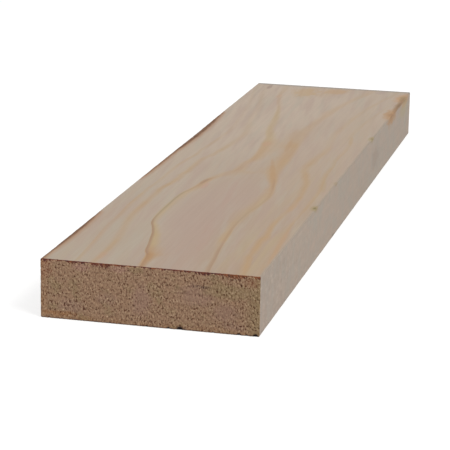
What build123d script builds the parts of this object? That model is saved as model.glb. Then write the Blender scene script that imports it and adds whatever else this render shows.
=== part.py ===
from build123d import *
import math
import os

# A single board of planed softwood. It lies on its wide face: X runs across the
# width, Y along the grain with the near end at -Y, and Z up through the thickness.
# The origin is the middle of the underside.

# Planed section and cut length, in millimetres
board_width = 140.0
board_thickness = 38.0
board_length = 610.0

# The planer takes the sharpness off the four long arrises
arris_radius = 0.8

# Wane: where the board was sawn close under the bark, the round of the log
# shows along one upper arris. The log lies under the middle of the board, so
# its surface meets the wide face at a flat angle, in degrees.
wane_slope = 10.0

# The stretch of wane close to the near end. Places are measured along the board
# from the near end to the deepest point of the stretch, and depths square to
# the wane from where the sharp arris would be. Each stretch fades out both ways.
near_wane_place = 66.0
near_wane_stretch = 124.0
near_wane_depth = 0.45

# The longer and deeper stretch of wane past the middle of the board
far_wane_place = 385.0
far_wane_stretch = 184.0
far_wane_depth = 0.7

wanes = [
    (near_wane_place, near_wane_stretch, near_wane_depth),
    (far_wane_place, far_wane_stretch, far_wane_depth),
]

# Where the two faces of the waney arris would meet, and the direction across
# the strip of wane, up the round of the log towards the wide face
slope = math.radians(wane_slope)
arris_x = -board_width / 2
near_end_y = -board_length / 2
across_wane = Vector(math.cos(slope), 0, math.sin(slope))

with BuildPart() as plank:
    # The section is planed to size, and both ends are sawn square
    with BuildSketch(Plane.XZ):
        Rectangle(board_width, board_thickness, align=(Align.CENTER, Align.MIN))
    extrude(amount=board_length / 2, both=True)

    long_arrises = plank.edges().filter_by(Axis.Y)
    fillet(long_arrises, radius=arris_radius)

    # Each stretch of wane is a long shallow hollow. Seen along the strip its
    # floor is one arc, deepest in the middle and rising to the arris both ways.
    for place, stretch, depth in wanes:
        middle = Vector(arris_x, near_end_y + place, board_thickness)
        with BuildSketch(Plane(origin=middle, x_dir=(0, 1, 0), z_dir=across_wane)):
            with BuildLine():
                ThreePointArc((-stretch / 2, 0), (0, -depth), (stretch / 2, 0))
                Line((stretch / 2, 0), (-stretch / 2, 0))
            make_face()
        strip_width = depth * (math.tan(slope) + 1 / math.tan(slope))
        extrude(amount=strip_width, both=True, mode=Mode.SUBTRACT)

plank.part.label = "plank"

os.makedirs("parts", exist_ok=True)
export_step(plank.part, "parts/plank.step")
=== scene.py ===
# %% [markdown]
# # A short board of planed softwood
#
# The piece is a single length of framing timber, lying on its wide face. Its four
# long faces came smooth from a planer. Its two ends came rough from a saw. This
# file dresses the board that the frame holds, one small step at a time.

# %% Load the board that stays fixed
import math

import bpy
from mathutils import Matrix, Vector, noise
from mathutils.geometry import delaunay_2d_cdt


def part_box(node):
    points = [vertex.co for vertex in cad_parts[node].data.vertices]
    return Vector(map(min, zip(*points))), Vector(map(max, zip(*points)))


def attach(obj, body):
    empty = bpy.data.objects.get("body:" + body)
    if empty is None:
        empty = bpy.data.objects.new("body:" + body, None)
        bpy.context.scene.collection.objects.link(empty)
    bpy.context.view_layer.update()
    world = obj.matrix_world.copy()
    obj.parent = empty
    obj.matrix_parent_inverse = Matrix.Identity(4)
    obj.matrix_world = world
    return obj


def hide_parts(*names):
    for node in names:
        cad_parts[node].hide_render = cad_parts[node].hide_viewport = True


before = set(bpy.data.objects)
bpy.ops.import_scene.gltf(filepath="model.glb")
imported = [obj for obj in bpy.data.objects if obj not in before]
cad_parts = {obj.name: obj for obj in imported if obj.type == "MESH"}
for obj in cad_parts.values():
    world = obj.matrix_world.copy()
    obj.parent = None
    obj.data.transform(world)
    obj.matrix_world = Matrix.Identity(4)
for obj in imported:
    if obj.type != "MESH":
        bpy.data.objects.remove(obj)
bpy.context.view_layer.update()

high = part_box("plank")[1]
mm = 0.001
half_width = high.x / mm
half_length = high.y / mm
thickness = high.z / mm
print("board", [round(size, 1) for size in (2 * half_width, thickness, 2 * half_length)], "mm")

# %% [markdown]
# ## The camera
#
# A camera can be placed by eye until the picture looks right, or worked out from
# the corners of the object. Here the second way was used, so the place and the
# lens are plain numbers. The lens is long, but it stands close enough that the far
# end of the board looks about a third smaller than the near end.

# %% Camera
eye = Vector((0.3088, -1.3925, 0.3688))
turn_left = math.radians(13.52)
look_down = math.radians(15.01)
tilt = math.radians(0.99)
lens_mm = 154.0

forward = Vector((
    -math.sin(turn_left) * math.cos(look_down),
    math.cos(turn_left) * math.cos(look_down),
    -math.sin(look_down),
))
level_right = Vector((math.cos(turn_left), math.sin(turn_left), 0))
level_up = level_right.cross(forward)
right = level_right * math.cos(tilt) + level_up * math.sin(tilt)
up = level_up * math.cos(tilt) - level_right * math.sin(tilt)

camera_data = bpy.data.cameras.new("camera")
camera_data.sensor_width = 36.0
camera_data.lens = lens_mm
camera_data.clip_end = 50.0
camera = bpy.data.objects.new("camera", camera_data)
camera.matrix_world = Matrix((
    (right.x, up.x, -forward.x, eye.x),
    (right.y, up.y, -forward.y, eye.y),
    (right.z, up.z, -forward.z, eye.z),
    (0, 0, 0, 1),
))
bpy.context.collection.objects.link(camera)
bpy.context.scene.camera = camera
print("camera at", [round(value, 3) for value in eye], "lens", lens_mm, "mm")

# %% [markdown]
# ## Small helpers for shader nodes
#
# A material in Blender is a graph of nodes. Written out in full, each node takes
# three or four lines, so a few helpers keep the recipes below short. Sizes inside
# the materials are millimetres, because wood is easiest to think of in those.

# %% Helpers that add nodes
def paint(red, green, blue):
    """A colour written from 0 to 255, as the linear colour that a shader wants."""
    linear = [((value / 255 + 0.055) / 1.055) ** 2.4 for value in (red, green, blue)]
    return (*linear, 1.0)


def feed(tree, socket, value):
    """Links a socket to another one, or writes a plain value in it."""
    if isinstance(value, bpy.types.NodeSocket):
        tree.links.new(value, socket)
    else:
        socket.default_value = value


def add_node(tree, kind, **settings):
    """One new shader node with its settings filled in."""
    node = tree.nodes.new("ShaderNode" + kind)
    for name, value in settings.items():
        setattr(node, name, value)
    return node


def calc(tree, operation, *values, clamp=False):
    """A Math node on two or three values."""
    node = add_node(tree, "Math", operation=operation, use_clamp=clamp)
    for socket, value in zip(node.inputs, values):
        feed(tree, socket, value)
    return node.outputs[0]


def ramp(tree, value, start, end, to_start=0.0, to_end=1.0):
    """A soft step from one value to another as the input goes from start to end."""
    node = add_node(tree, "MapRange", interpolation_type="SMOOTHSTEP")
    for name, number in (
        ("Value", value),
        ("From Min", start),
        ("From Max", end),
        ("To Min", to_start),
        ("To Max", to_end),
    ):
        feed(tree, node.inputs[name], number)
    return node.outputs[0]


def tint(tree, amount, under, over, blend_type="MIX"):
    """Lays one colour over another by an amount from 0 to 1."""
    node = add_node(tree, "Mix", data_type="RGBA", blend_type=blend_type)
    feed(tree, node.inputs[0], amount)
    feed(tree, node.inputs[6], under)
    feed(tree, node.inputs[7], over)
    return node.outputs[2]


def blend(tree, amount, first, second):
    """A value between two others, by an amount from 0 to 1."""
    node = add_node(tree, "Mix", data_type="FLOAT")
    feed(tree, node.inputs[0], amount)
    feed(tree, node.inputs[2], first)
    feed(tree, node.inputs[3], second)
    return node.outputs[0]


def cloud(tree, place, size, seed, detail=2.0, roughness=0.5):
    """Noise from 0 to 1 whose patches measure about size, in millimetres, along X, Y and Z."""
    stretch = add_node(tree, "VectorMath", operation="MULTIPLY")
    feed(tree, stretch.inputs[0], place)
    feed(tree, stretch.inputs[1], [1 / length for length in size])
    node = add_node(tree, "TexNoise", noise_dimensions="4D")
    feed(tree, node.inputs["Vector"], stretch.outputs[0])
    feed(tree, node.inputs["W"], seed)
    feed(tree, node.inputs["Scale"], 1.0)
    feed(tree, node.inputs["Detail"], detail)
    feed(tree, node.inputs["Roughness"], roughness)
    return node.outputs["Fac"]


def split(tree, place):
    """The X, Y and Z of a vector as three sockets."""
    node = add_node(tree, "SeparateXYZ")
    feed(tree, node.inputs[0], place)
    return node.outputs[0], node.outputs[1], node.outputs[2]


def join(tree, x, y, z):
    """Three values as one vector."""
    node = add_node(tree, "CombineXYZ")
    for socket, value in zip(node.inputs, (x, y, z)):
        feed(tree, socket, value)
    return node.outputs[0]


def curve_along(tree, along, places):
    """A drawn curve. Each place is a share of the length and a height from 0 to 1."""
    node = add_node(tree, "FloatCurve")
    feed(tree, node.inputs["Value"], along)
    points = node.mapping.curves[0].points
    for _ in places[2:]:
        points.new(0.5, 0.5)
    for point, (share, height) in zip(points, places):
        point.location = (share, height)
    node.mapping.update()
    return node.outputs[0]


print("a grey written as 128 is", round(paint(128, 128, 128)[0], 3), "to a shader")

# %% Helpers that make and place a node group
def start_group(name, inputs, outputs):
    """A shader node group with named sockets, and its two end nodes."""
    tree = bpy.data.node_groups.new(name, "ShaderNodeTree")
    for direction, sockets in (("INPUT", inputs), ("OUTPUT", outputs)):
        for label, kind in sockets.items():
            tree.interface.new_socket(label, in_out=direction, socket_type="NodeSocket" + kind)
    start = tree.nodes.new("NodeGroupInput").outputs
    end = tree.nodes.new("NodeGroupOutput").inputs
    return tree, start, end


def use_group(tree, group, **values):
    """Places a group in a material, with spaces in socket names written as underscores."""
    node = tree.nodes.new("ShaderNodeGroup")
    node.node_tree = group
    for name, value in values.items():
        feed(tree, node.inputs[name.replace("_", " ")], value)
    return node.outputs


print("node groups so far:", len(bpy.data.node_groups))

# %% [markdown]
# ## Growth rings as a solid pattern
#
# A tree lays one ring of wood round itself each year: pale early wood first, then
# a thin dense band of late wood that ends in a sharp line. A picture of grain
# could be painted on each face, but then the lines would not meet at the edges.
# Here the rings are real cylinders in space round the pith, the middle of the
# tree, and each face shows where it cuts them. The pith wanders a little along
# the board, and that draws the long arches on the wide face.

# %% The two arms of the main ring
# Seen from above, the main ring shows as two long arms. Each row gives how far it
# is from the near end, where the arm lies from the left edge, where the next two
# rings out lie, how wide the honey band is on the face, how strong the band and
# its dark line are, and how far in the wood the colour fades on past the line.
left_arm = [
    (0, 64.0, 32.6, 21.6, 3.0, 0.50, 0.20, 0.6),
    (12, 62.5, 32.6, 21.0, 4.5, 0.75, 0.25, 0.4),
    (25, 61.2, 32.6, 20.2, 6.5, 0.95, 0.45, 0.3),
    (38, 57.0, 32.3, 19.4, 9.0, 0.75, 0.70, 0.2),
    (50, 55.0, 31.6, 18.6, 7.5, 0.75, 0.70, 0.15),
    (65, 52.2, 30.0, 17.4, 6.0, 0.80, 0.75, 0.15),
    (80, 49.3, 28.0, 16.2, 5.0, 0.80, 0.75, 0.15),
    (95, 45.0, 25.6, 15.2, 4.5, 0.70, 0.70, 0.15),
    (106, 41.6, 24.0, 15.2, 3.5, 0.60, 0.70, 0.15),
    (116, 40.4, 23.3, 14.8, 3.5, 0.50, 0.55, 0.3),
    (130, 39.8, 22.7, 14.0, 4.0, 0.50, 0.50, 0.4),
    (150, 39.6, 22.3, 13.0, 4.5, 0.50, 0.55, 0.4),
    (170, 39.6, 22.0, 13.0, 4.5, 0.50, 0.55, 0.4),
    (185, 40.2, 22.0, 13.0, 5.0, 0.50, 0.50, 0.4),
    (200, 43.0, 22.0, 13.0, 5.0, 0.50, 0.30, 0.5),
    (213, 45.2, 24.0, 13.8, 5.0, 0.55, 0.25, 0.5),
    (226, 46.6, 25.0, 14.0, 4.5, 0.65, 0.40, 0.6),
    (240, 50.0, 25.0, 14.0, 5.0, 0.50, 0.15, 0.7),
    (255, 56.0, 26.5, 14.0, 9.0, 0.35, 0.00, 1.0),
    (270, 61.0, 26.3, 14.0, 6.5, 0.55, 0.10, 0.6),
    (290, 62.0, 26.5, 16.0, 5.0, 0.45, 0.05, 0.6),
    (310, 64.3, 30.0, 18.0, 7.0, 0.60, 0.00, 0.4),
    (330, 64.0, 32.5, 18.0, 8.0, 0.65, 0.00, 0.4),
    (350, 62.3, 34.5, 19.5, 8.5, 0.62, 0.00, 0.4),
    (365, 61.0, 35.6, 20.7, 8.0, 0.65, 0.00, 0.5),
    (380, 60.3, 36.2, 21.2, 6.0, 0.55, 0.00, 0.5),
    (400, 55.8, 35.5, 22.0, 5.5, 0.50, 0.05, 0.5),
    (420, 52.4, 32.5, 21.0, 4.5, 0.50, 0.05, 0.5),
    (440, 50.2, 30.0, 19.5, 4.0, 0.45, 0.05, 0.5),
    (470, 46.6, 27.0, 17.0, 4.0, 0.50, 0.10, 0.5),
    (500, 42.2, 24.0, 14.0, 3.0, 0.35, 0.10, 0.5),
    (530, 35.8, 19.0, 10.0, 3.0, 0.30, 0.05, 0.6),
    (560, 30.6, 14.0, 5.0, 3.5, 0.30, 0.00, 0.8),
    (585, 28.8, 12.0, 3.0, 4.0, 0.25, 0.00, 1.0),
    (610, 27.0, 10.0, 1.0, 4.0, 0.20, 0.00, 1.0),
]
right_arm = [
    (0, 107.5, 129.0, 139.0, 3.0, 0.35, 0.45, 0.3),
    (12, 106.0, 128.3, 138.5, 3.0, 0.35, 0.45, 0.3),
    (25, 104.8, 126.3, 138.0, 3.0, 0.35, 0.45, 0.3),
    (38, 103.4, 124.2, 138.0, 3.0, 0.35, 0.45, 0.3),
    (50, 102.0, 124.0, 137.8, 3.5, 0.40, 0.45, 0.3),
    (65, 100.6, 123.7, 137.0, 4.0, 0.40, 0.40, 0.3),
    (80, 99.3, 123.0, 135.8, 4.0, 0.75, 0.30, 0.4),
    (95, 98.4, 123.8, 135.0, 4.0, 0.65, 0.30, 0.4),
    (106, 97.5, 123.0, 135.0, 5.0, 0.50, 0.25, 0.5),
    (116, 97.2, 122.0, 135.0, 5.5, 0.50, 0.25, 0.6),
    (130, 97.4, 122.0, 134.7, 6.0, 0.35, 0.20, 0.8),
    (150, 98.5, 123.0, 134.5, 7.0, 0.40, 0.15, 0.8),
    (170, 100.8, 124.0, 134.5, 6.5, 0.55, 0.20, 0.6),
    (185, 101.8, 124.0, 134.5, 6.0, 0.50, 0.20, 0.6),
    (200, 101.8, 124.0, 134.5, 6.0, 0.60, 0.15, 0.6),
    (213, 100.5, 123.0, 134.5, 6.0, 0.60, 0.15, 0.6),
    (226, 98.6, 121.8, 133.6, 4.0, 0.70, 0.35, 0.5),
    (240, 96.2, 120.5, 132.0, 5.0, 0.70, 0.30, 0.7),
    (255, 93.4, 117.5, 130.4, 6.0, 0.62, 0.10, 0.7),
    (270, 91.2, 114.5, 129.5, 8.5, 0.58, 0.00, 0.7),
    (290, 90.6, 110.5, 129.2, 11.0, 0.62, 0.00, 0.6),
    (310, 90.0, 111.5, 128.3, 10.0, 0.65, 0.00, 0.6),
    (330, 88.8, 113.0, 127.5, 9.0, 0.70, 0.00, 0.6),
    (350, 87.3, 114.0, 128.3, 8.5, 0.70, 0.00, 0.6),
    (365, 86.0, 113.7, 128.4, 8.5, 0.65, 0.00, 0.6),
    (380, 84.6, 112.5, 127.5, 9.5, 0.45, 0.00, 0.8),
    (400, 84.0, 110.7, 124.2, 9.5, 0.40, 0.00, 0.9),
    (420, 83.0, 110.0, 123.0, 7.0, 0.36, 0.00, 1.0),
    (440, 83.8, 111.0, 124.0, 4.5, 0.36, 0.03, 0.9),
    (470, 86.4, 112.0, 126.0, 4.0, 0.34, 0.05, 0.9),
    (500, 89.5, 115.0, 129.0, 5.0, 0.32, 0.03, 1.0),
    (530, 93.0, 118.0, 132.0, 4.5, 0.28, 0.03, 1.0),
    (560, 98.5, 123.0, 136.0, 5.0, 0.25, 0.00, 1.2),
    (585, 105.0, 128.0, 139.0, 6.0, 0.25, 0.00, 1.2),
    (610, 109.0, 131.0, 141.0, 8.0, 0.20, 0.00, 1.2),
]
print(len(left_arm), "places on each arm of the main ring")

# %% From the arms to the pith
main_ring_radius = 130.0
inner_spacing = 5.2

# A band fades out towards its inside, so it is drawn half as wide again
band_allowance = 1.5

# One list of places along the board for each thing that changes on the way
courses = {"sway": [], "rise": []}
for arm_name in ("left", "right"):
    for quantity in ("spacing", "spacing beyond", "thickness", "band", "line", "fade"):
        courses[arm_name + " " + quantity] = []

for rows in zip(left_arm, right_arm):
    share = rows[0][0] / (2 * half_length)
    half_gap = (rows[1][1] - rows[0][1]) / 2
    pith_from_left = (rows[1][1] + rows[0][1]) / 2
    pith_below = math.sqrt(main_ring_radius ** 2 - half_gap ** 2)
    courses["sway"].append((share, pith_from_left - half_width))
    courses["rise"].append((share, main_ring_radius - pith_below))
    for arm_name, row in zip(("left", "right"), rows):
        first_out, second_out, width, band, line, fade = row[2:]
        first_radius = math.hypot(first_out - pith_from_left, pith_below)
        second_radius = math.hypot(second_out - pith_from_left, pith_below)
        courses[arm_name + " spacing"].append((share, first_radius - main_ring_radius))
        courses[arm_name + " spacing beyond"].append((share, second_radius - first_radius))
        # The face cuts the ring at a flat angle, so in the wood the band is much thinner
        cut_flat = (2 * half_gap - width) / (2 * main_ring_radius)
        courses[arm_name + " thickness"].append((share, band_allowance * width * cut_flat))
        courses[arm_name + " band"].append((share, band))
        courses[arm_name + " line"].append((share, line))
        courses[arm_name + " fade"].append((share, fade))

# The most that each of them can be, since a drawn curve only goes from 0 to 1
limits = {
    "sway": 20.0, "rise": 8.0, "spacing": 10.0, "spacing beyond": 10.0,
    "thickness": 5.0, "band": 1.0, "line": 1.0, "fade": 2.0,
}
print("pith sways from", round(min(sway for _, sway in courses["sway"]), 1),
      "to", round(max(sway for _, sway in courses["sway"]), 1), "mm off the middle")


def course(tree, along, name):
    """The value of one course at a share of the length."""
    limit = limits[name.replace("left ", "").replace("right ", "")]
    drawn = curve_along(tree, along, [(share, value / limit) for share, value in courses[name]])
    return calc(tree, "MULTIPLY", drawn, limit)


def either_arm(tree, along, to_right, quantity):
    """The course of the left arm on the left of the pith, and of the right arm on its right."""
    left = course(tree, along, "left " + quantity)
    right = course(tree, along, "right " + quantity)
    return blend(tree, to_right, left, right)


# %% Node group: growth rings
def make_growth_rings():
    """The ring that a place lies in, and how far it is from the edges of the ring and from the pith.

    The main ring has number -1, and the next ones out have 0, 1 and so on.
    """
    tree, start, end = start_group(
        "growth_rings",
        {"Place": "Vector"},
        {
            "Ring": "Float", "Before edge": "Float", "Past edge": "Float",
            "From pith": "Float", "From main": "Float",
        },
    )
    x, y, z = split(tree, start["Place"])
    along = calc(tree, "MULTIPLY_ADD", y, 0.5 / half_length, 0.5)

    # A drawn curve holds nothing below 0, so the sway is drawn from half way up
    most_sway = limits["sway"]
    drawn = curve_along(tree, along, [
        (share, 0.5 + value / most_sway / 2) for share, value in courses["sway"]
    ])
    pith_x = calc(tree, "MULTIPLY_ADD", drawn, 2 * most_sway, -most_sway)
    pith_z = calc(tree, "ADD", course(tree, along, "rise"), thickness - main_ring_radius)

    across = calc(tree, "SUBTRACT", x, pith_x)
    upward = calc(tree, "SUBTRACT", z, pith_z)
    across_squared = calc(tree, "MULTIPLY", across, across)
    radius = calc(tree, "SQRT", calc(tree, "MULTIPLY_ADD", upward, upward, across_squared))

    # Rings far from the main one waver by themselves
    from_main = calc(tree, "SUBTRACT", radius, main_ring_radius)
    looseness = ramp(tree, calc(tree, "ABSOLUTE", from_main), 7.0, 14.0)
    waver = calc(tree, "SUBTRACT", cloud(tree, start["Place"], (34, 110, 34), 3.0), 0.5)
    from_main = calc(tree, "MULTIPLY_ADD", calc(tree, "MULTIPLY", waver, 3.0), looseness, from_main)

    # Outside the main ring the spacing changes along the board and from side to side
    to_right = ramp(tree, across, -8.0, 8.0)
    first_gap = either_arm(tree, along, to_right, "spacing")
    gap_beyond = either_arm(tree, along, to_right, "spacing beyond")
    outside = calc(tree, "GREATER_THAN", from_main, 0.0)
    beyond_first = calc(tree, "GREATER_THAN", from_main, first_gap)
    spacing = blend(tree, beyond_first, blend(tree, outside, inner_spacing, first_gap), gap_beyond)
    counted_from = calc(tree, "MULTIPLY", first_gap, beyond_first)
    count = calc(tree, "DIVIDE", calc(tree, "SUBTRACT", from_main, counted_from), spacing)
    count = calc(tree, "ADD", count, beyond_first)

    ring = calc(tree, "FLOOR", count)
    age = calc(tree, "SUBTRACT", count, ring)
    feed(tree, end["Ring"], ring)
    feed(tree, end["Before edge"], calc(tree, "MULTIPLY", calc(tree, "SUBTRACT", 1.0, age), spacing))
    feed(tree, end["Past edge"], calc(tree, "MULTIPLY", age, spacing))
    feed(tree, end["From pith"], across)
    feed(tree, end["From main"], from_main)
    return tree


growth_rings = make_growth_rings()
print("growth rings about", inner_spacing, "mm apart, main ring", main_ring_radius, "mm from the pith")

# %% Node group: late wood
ring_line_width = 0.48


def make_late_wood():
    """The soft honey band that closes a ring, and the thin dark line where it ends."""
    tree, start, end = start_group(
        "late_wood",
        {"Before edge": "Float", "Past edge": "Float", "Band": "Float", "Fade": "Float"},
        {"Band": "Float", "Line": "Float"},
    )
    past = ramp(tree, start["Past edge"], 0.0, start["Fade"], 1.0, 0.0)
    full_until = calc(tree, "MULTIPLY", start["Band"], 0.2)
    band = ramp(tree, start["Before edge"], full_until, start["Band"], 1.0, 0.0)
    feed(tree, end["Band"], calc(tree, "MAXIMUM", band, past))
    line = ramp(tree, start["Before edge"], 0.05, ring_line_width, 1.0, 0.0)
    line_past = ramp(tree, start["Past edge"], 0.0, 0.1, 1.0, 0.0)
    feed(tree, end["Line"], calc(tree, "MAXIMUM", line, line_past))
    return tree


def late_wood_of(tree, rings, band, fade):
    """The late wood of every ring, with the width of the band and of its fade in millimetres."""
    return use_group(
        tree, late_wood, Before_edge=rings["Before edge"], Past_edge=rings["Past edge"],
        Band=band, Fade=fade,
    )


late_wood = make_late_wood()
print("late wood goes from a", ring_line_width, "mm line to a soft band")

# %% [markdown]
# ## Fibres
#
# Softwood is a bundle of tubes that run up the stem. On a planed face they show
# as very fine streaks along the grain, far longer than they are wide. Noise that
# is stretched along Y gives them, and the same group serves every face.

# %% Node group: fibres
def make_fibres():
    """Broad and fine streaks along the grain."""
    tree, start, end = start_group("fibres", {"Place": "Vector"}, {"Streak": "Float", "Fine": "Float"})
    broad = cloud(tree, start["Place"], (1.6, 90, 1.6), 11.0, detail=3.0, roughness=0.6)
    fine = cloud(tree, start["Place"], (0.35, 22, 0.35), 12.0, detail=2.0, roughness=0.6)
    feed(tree, end["Streak"], ramp(tree, broad, 0.25, 0.75))
    feed(tree, end["Fine"], ramp(tree, fine, 0.25, 0.75))
    return tree


fibres = make_fibres()
print("fibre group gives", [item.name for item in fibres.interface.items_tree if item.in_out == "OUTPUT"])

# %% [markdown]
# ## Knots, resin and stains
#
# A knot, a pin knot, a streak of resin and a stain are all patches of another
# colour with a soft, uneven outline. One group makes them: an egg-shaped region
# in space, which may lean across the grain, with its edge pushed about by a ripple
# of noise. It gives a wide halo and a small heart, and a material can give each of
# the two its own colour.

# %% Node group: patch
def make_patch():
    """The halo and the heart of one patch in space."""
    tree, start, end = start_group(
        "patch",
        {
            "Place": "Vector", "Centre": "Vector", "Radii": "Vector",
            "Lean": "Float", "Ripple": "Float", "Raggedness": "Float",
        },
        {"Halo": "Float", "Heart": "Float"},
    )
    offset = add_node(tree, "VectorMath", operation="SUBTRACT")
    feed(tree, offset.inputs[0], start["Place"])
    feed(tree, offset.inputs[1], start["Centre"])
    x, y, z = split(tree, offset.outputs[0])
    straight = join(tree, calc(tree, "SUBTRACT", x, calc(tree, "MULTIPLY", y, start["Lean"])), y, z)
    share = add_node(tree, "VectorMath", operation="DIVIDE")
    feed(tree, share.inputs[0], straight)
    feed(tree, share.inputs[1], start["Radii"])
    reach = add_node(tree, "VectorMath", operation="LENGTH")
    feed(tree, reach.inputs[0], share.outputs[0])
    distance = calc(
        tree, "MULTIPLY_ADD", start["Ripple"], start["Raggedness"], reach.outputs["Value"]
    )
    feed(tree, end["Halo"], ramp(tree, distance, 0.35, 1.0, 1.0, 0.0))
    feed(tree, end["Heart"], ramp(tree, distance, 0.1, 0.45, 1.0, 0.0))
    return tree


def patch_ripple(tree, place):
    """The noise, around 0, that pushes the edges of patches about."""
    return calc(tree, "SUBTRACT", cloud(tree, place, (4, 10, 4), 21.0, detail=3.0), 0.5)


patch = make_patch()
print("patch group has", len(patch.nodes), "nodes")

# %% [markdown]
# ## Wane
#
# Where a board is sawn close under the bark, the round outside of the log is left
# along an arris. It is a long shallow hollow there, brown from the bark, and the
# brown soaks a little way into the clean wood beside it. The hollow itself is
# modelled further down. This group gives the stain, from the same sizes.

# %% Sizes of the wane, and its node group
wane_slope = math.radians(10.0)

# For each stretch: place of its middle from the near end, its length, its depth
wanes = {
    "near_wane": (66.0, 124.0, 0.45),
    "far_wane": (385.0, 184.0, 0.7),
}

# Where the bark only just touched the arris it left a thin line. The depth here gives
# the width of the line, and no hollow is cut for it
bark_lines = {
    "line_between": (285.0, 150.0, 0.3),
    "line_at_near_end": (14.0, 70.0, 0.16),
}

# How far the brown goes on past the strip, in millimetres
soaked_in = 0.9


def wane_depth(y):
    """Depth of the wane at a place along the board, square to its slope."""
    depth = 0.0
    for middle, stretch, deepest in wanes.values():
        share = (y + half_length - middle) / (stretch / 2)
        depth = max(depth, deepest * (1 - share * share))
    return depth


def make_wane_stain():
    """The brown core of the bark's stain, and the paler bleed beside it."""
    tree, start, end = start_group(
        "wane_stain", {"Place": "Vector"}, {"Core": "Float", "Bleed": "Float"}
    )
    x, y, z = split(tree, start["Place"])
    depth = 0.0
    for middle, stretch, deepest in (*wanes.values(), *bark_lines.values()):
        share = calc(
            tree, "MULTIPLY_ADD", y, 2 / stretch, (half_length - middle) * 2 / stretch
        )
        hollow = calc(
            tree, "MULTIPLY_ADD", calc(tree, "MULTIPLY", share, share), -deepest, deepest
        )
        depth = calc(tree, "MAXIMUM", depth, hollow)
    strip = calc(tree, "MULTIPLY_ADD", depth, 1 / math.sin(wane_slope), soaked_in)
    ripple = calc(tree, "SUBTRACT", cloud(tree, start["Place"], (2.5, 12, 2.5), 31.0, detail=3.0), 0.5)
    inward = calc(tree, "SUBTRACT", calc(tree, "ADD", x, half_width), strip)
    inward = calc(tree, "MULTIPLY_ADD", ripple, 2.2, inward)
    there = ramp(tree, depth, 0.02, 0.14)
    near_top = ramp(tree, z, thickness - 3.0, thickness - 1.0)
    there = calc(tree, "MULTIPLY", there, near_top)
    feed(tree, end["Core"], calc(tree, "MULTIPLY", ramp(tree, inward, -1.6, 1.0, 1.0, 0.0), there))
    feed(tree, end["Bleed"], calc(tree, "MULTIPLY", ramp(tree, inward, -0.5, 4.0, 1.0, 0.0), there))
    return tree


wane_stain = make_wane_stain()
print("wane at its deepest:", max(depth for _, _, depth in wanes.values()), "mm")

# %% [markdown]
# ## The planed face
#
# Freshly planed softwood is pale, dry and nearly matt. Its colour is not one
# colour: the early wood drifts between grey, pink and yellow, the late wood is
# honey brown, and the resin in a few rings turns it orange. The recipe starts
# from the early wood and lays each of these over it in turn.

# %% Helper that starts a material
def start_material(name):
    """A material with a Principled shader, and the place on the board in millimetres."""
    material = bpy.data.materials.new(name)
    material.use_nodes = True
    tree = material.node_tree
    shader = tree.nodes["Principled BSDF"]
    coordinates = add_node(tree, "TexCoord")
    scale = add_node(tree, "VectorMath", operation="SCALE")
    feed(tree, scale.inputs[0], coordinates.outputs["Object"])
    feed(tree, scale.inputs["Scale"], 1 / mm)
    return material, tree, shader, scale.outputs[0]


def add_bump(tree, shader, height, depth_mm):
    """Feeds a height from 0 to 1 into the shader's normal, at a real depth."""
    bump = add_node(tree, "Bump")
    feed(tree, bump.inputs["Strength"], 1.0)
    feed(tree, bump.inputs["Distance"], depth_mm * mm)
    feed(tree, bump.inputs["Height"], height)
    feed(tree, shader.inputs["Normal"], bump.outputs[0])


print("materials measure the board in steps of", mm, "m")

# %% [markdown]
# ## Marks
#
# No two boards have the same knots and stains, so these are placed one by one. They
# could be drawn on a picture, but a mark on an arris shows on two faces at once. So
# each one is a patch in space, with its middle across, along and up the board.

# %% Marks on the planed faces
far = half_length
near = -half_length
top = thickness
edge = half_width


def mark(middle, radii, raggedness, halo, amount, heart=(0, 0, 0), heart_amount=0.0, lean=0.0):
    """A patch of another colour: where, how big, how ragged, and how far it leans for each mm along."""
    return {
        "middle": middle, "radii": radii, "raggedness": raggedness, "lean": lean,
        "halo": paint(*halo), "amount": amount,
        "heart": paint(*heart), "heart_amount": heart_amount,
    }


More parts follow.
